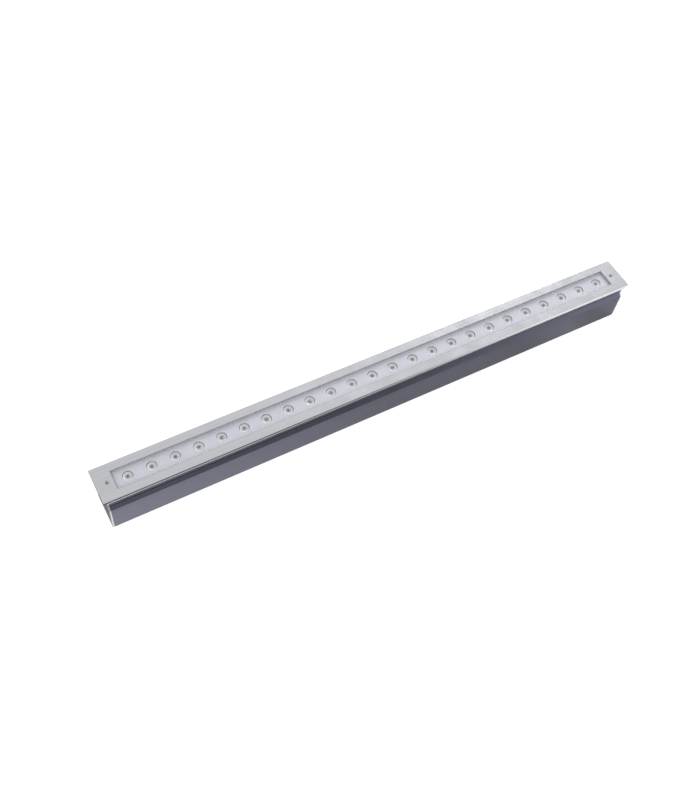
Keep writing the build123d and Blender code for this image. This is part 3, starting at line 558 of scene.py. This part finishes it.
# rivets, flush outside and domed inside
grip, head, shank = -rivet["grip"], rivet["head"], rivet["shank"]
bm = turned([(0, -0.1), (1.2, -0.02), (3.3, 0), (head, -0.1), (shank, shank - head), (shank, grip),
             (head, grip), (head - 0.2, grip - 0.6), (head - 0.8, grip - 1), (0, grip - 1.2)], 36)
places = [place for z in rivet["z"] for place in ends(outerX, 0, z)]
addPiece(repeated(bm, places), "bracketRivets", "bracket_rivets")

# grommet: a lip outside, a waist in the plate and a tapered collar inside
grommet = {"bore": 4.5, "lip": 10, "lipHeight": 1.6, "waist": 2.8, "collar": 9.2, "collarEnd": 7.2,
           "depth": 6, "bevel": 0.35}
bore, lip, lipHeight = grommet["bore"], grommet["lip"], grommet["lipHeight"]
waist, depth = -grommet["waist"], -grommet["depth"]
bm = turned([(bore, lipHeight), (lip, lipHeight), (lip, 0), (hole, 0), (hole, waist),
             (grommet["collar"], waist), (grommet["collarEnd"], depth), (bore, depth)], closed=True)
place = ends(outerX, 0, entry["z"])[1]
addPiece(repeated(bevelled(bm, grommet["bevel"], 3), [place]), "cableGrommet", "cable_grommet")
softenedCopies({"fixing_bracket_left": 0.2, "fixing_bracket_right": 0.2, "bracket_nuts": 0.3})
print("recess box done")


# light housing and what hangs below it
softenedCopies({"light_housing": 0.15, "housing_cap_left": 0.2, "housing_cap_right": 0.2, "gland_body": 0.3,
                "gland_nut": 0.3, "breather_vent": 0.2, "driver": 0.4, "driver_tray": 0.2,
                "terminal_block": 0.3})
capScrew = {"places": ((19.4, 79.0), (18.9, 39.3)), "x": 477, "head": 2.8, "shank": 1.45, "length": 14,
            "socket": 2, "socketDepth": 1.2}
places = [place for y, z in capScrew["places"] for sign in (-1, 1)
          for place in ends(capScrew["x"], sign * y, z)]
addPiece(repeated(socketScrew(capScrew, 36), places), "capScrews", "cap_screws",
         finishes=[screwSteel, socketShadeSteel])
print("light housing done")


# studio, in metres: levels that metal sees by place along X on the floor, and by direction in the room
studio = {
    "floorColour": 0.85, "floorColourInMetal": 0.3, "floorGlow": 0.7, "floorSize": 12, "ambient": 0.75,
    "lampPlace": (1.54, 1.96, 1.26), "lampWidth": 1.2, "lampPower": 34,
    "floorInMetal": ((-0.51, 0.0), (-0.499, 0.0), (-0.498, 0.1), (-0.494, 0.42), (-0.492, 1.08),
                     (-0.3, 0.88), (0.0, 0.56), (0.2, 0.48), (0.3, 0.42), (0.4, 0.58), (0.45, 0.42)),
    "farFloorInMetal": ((-0.5, 0.56), (-0.28, 0.56), (-0.18, 0.42), (0.05, 0.26), (0.3, 0.17), (0.5, 0.25)),
    "rimFloorInMetal": ((-0.45, 0.0), (-0.2, 0.05), (-0.1, 0.18), (0.05, 0.45), (0.15, 0.9), (0.26, 1.3),
                        (0.37, 1.9)),
    "farFloorFrom": (0.062, 0.07), "rimFloorFrom": (0.085, 0.095), "outerFloorFrom": (0.16, 0.2),
    "outerFloorInMetal": 0.3,
    "highInMetal": ((0.05, 0.78), (0.15, 0.83), (0.33, 0.79), (0.46, 0.64), (0.52, 0.66), (0.6, 0.86)),
    "middleInMetal": ((0.05, 0.1), (0.3, 0.12), (0.37, 0.3), (0.43, 0.8), (0.51, 1.9)),
    "lowInMetal": ((0.05, 0.92), (0.2, 0.6), (0.27, 0.37), (0.37, 0.3), (0.43, 0.24), (0.47, 0.4),
                   (0.52, 0.7), (0.58, 1.56)),
    "lowUpTo": (0.35, 0.4), "middleUpTo": (0.56, 0.7), "frontUpTo": (-0.35, 0.0),
}


def toneRamp(tree, value, tones):
    # a value's levels at given places, straight between them
    low, high = tones[0][0], tones[-1][0]
    spread = addNode(tree, "MapRange", FromMin=low, FromMax=high)
    ramp = addNode(tree, "ValToRGB")
    tree.links.new(value, spread.inputs["Value"])
    tree.links.new(spread.outputs["Result"], ramp.inputs["Fac"])
    stops = ramp.color_ramp.elements
    while len(stops) < len(tones):
        stops.new(0.5)
    for stop, (position, tone) in zip(stops, tones):
        stop.position, stop.color = (position - low) / (high - low), (tone, tone, tone, 1)
    return ramp.outputs["Color"]


def stepUp(tree, value, limits):
    node = addNode(tree, "MapRange", FromMin=limits[0], FromMax=limits[1])
    tree.links.new(value, node.inputs["Value"])
    return node.outputs["Result"]


def mixValue(tree, share, first, second):
    node = addNode(tree, "Mix")
    for socket, value in zip([s for s in node.inputs if s.enabled], (share, first, second)):
        plugIn(tree, socket, value)
    return node.outputs[0]


def raysOf(tree):
    # the rays that metal sends out, and those of the camera, straight or through glass
    path = addNode(tree, "LightPath").outputs
    seen = mathNode(tree, "MAXIMUM", path["Is Camera Ray"], path["Is Transmission Ray"])
    return path["Is Glossy Ray"], seen


# floor: pale, white to the camera and in glass, with the object's soft shadow left on it
bm = bmesh.new()
bmesh.ops.create_grid(bm, x_segments=1, y_segments=1, size=studio["floorSize"])
floor = newObject(bm, "floor")
floorFinish = bpy.data.materials.new("Pale floor")
floorFinish.use_nodes = True
tree = floorFinish.node_tree
floorShader = tree.nodes["Principled BSDF"].inputs
floorShader["Roughness"].default_value = 1.0
floorShader["Specular IOR Level"].default_value = 0.0
floorShader["Emission Color"].default_value = (1, 1, 1, 1)
glossy, seen = raysOf(tree)
shade = mixValue(tree, glossy, studio["floorColour"], studio["floorColourInMetal"])
tree.links.new(shade, floorShader["Base Color"])
along = addNode(tree, "SeparateXYZ")
tree.links.new(addNode(tree, "TexCoord").outputs["Object"], along.inputs["Vector"])
alongX = along.outputs["X"]
distance = mathNode(tree, "ABSOLUTE", along.outputs["Y"], 0)
inMetal = toneRamp(tree, alongX, studio["floorInMetal"])
for limits, tones in (("farFloorFrom", "farFloorInMetal"), ("rimFloorFrom", "rimFloorInMetal")):
    inMetal = mixValue(tree, stepUp(tree, distance, studio[limits]), inMetal,
                       toneRamp(tree, alongX, studio[tones]))
inMetal = mixValue(tree, stepUp(tree, distance, studio["outerFloorFrom"]), inMetal,
                   studio["outerFloorInMetal"])
glow = mixValue(tree, glossy, mathNode(tree, "MULTIPLY", seen, studio["floorGlow"]), inMetal)
tree.links.new(glow, floorShader["Emission Strength"])
floor.data.materials.append(floorFinish)

# world: white to the camera; metal sees a darker room low in front and a brighter side to the right
world = bpy.data.worlds.new("Studio")
scene.world = world
world.use_nodes = True
tree = world.node_tree
sky = tree.nodes["Background"]
sky.inputs["Color"].default_value = (1, 1, 1, 1)
glossy, seen = raysOf(tree)
direction = addNode(tree, "SeparateXYZ")
tree.links.new(addNode(tree, "TexCoord").outputs["Generated"], direction.inputs["Vector"])
across, inward, upward = direction.outputs
front = mixValue(tree, stepUp(tree, upward, studio["lowUpTo"]), toneRamp(tree, across, studio["lowInMetal"]),
                 toneRamp(tree, across, studio["middleInMetal"]))
highOrBehind = mathNode(tree, "MAXIMUM", stepUp(tree, upward, studio["middleUpTo"]),
                        stepUp(tree, inward, studio["frontUpTo"]))
room = mixValue(tree, highOrBehind, front, toneRamp(tree, across, studio["highInMetal"]))
plain = mixValue(tree, seen, studio["ambient"], 1.0)
tree.links.new(mixValue(tree, glossy, plain, room), sky.inputs["Strength"])

# one wide soft lamp, behind and to the right
lampData = bpy.data.lights.new("lamp", "AREA")
lampData.size = studio["lampWidth"]
lampData.energy = studio["lampPower"]
lamp = bpy.data.objects.new("lamp", lampData)
lamp.location = studio["lampPlace"]
lamp.rotation_euler = Vector(studio["lampPlace"]).to_track_quat("Z", "Y").to_euler()
scene.collection.objects.link(lamp)

# camera, in millimetres of lens, metres and degrees
shot = {"lens": 44.94, "sensor": 36, "place": (-0.61255, -0.74414, 1.43715),
        "turn": (33.0743, -5.0959, -28.9797)}
cameraData = bpy.data.cameras.new("camera")
cameraData.lens = shot["lens"]
cameraData.sensor_width = shot["sensor"]
camera = bpy.data.objects.new("camera", cameraData)
camera.location = shot["place"]
camera.rotation_euler = [math.radians(a) for a in shot["turn"]]
scene.collection.objects.link(camera)
scene.camera = camera
print("scene done")
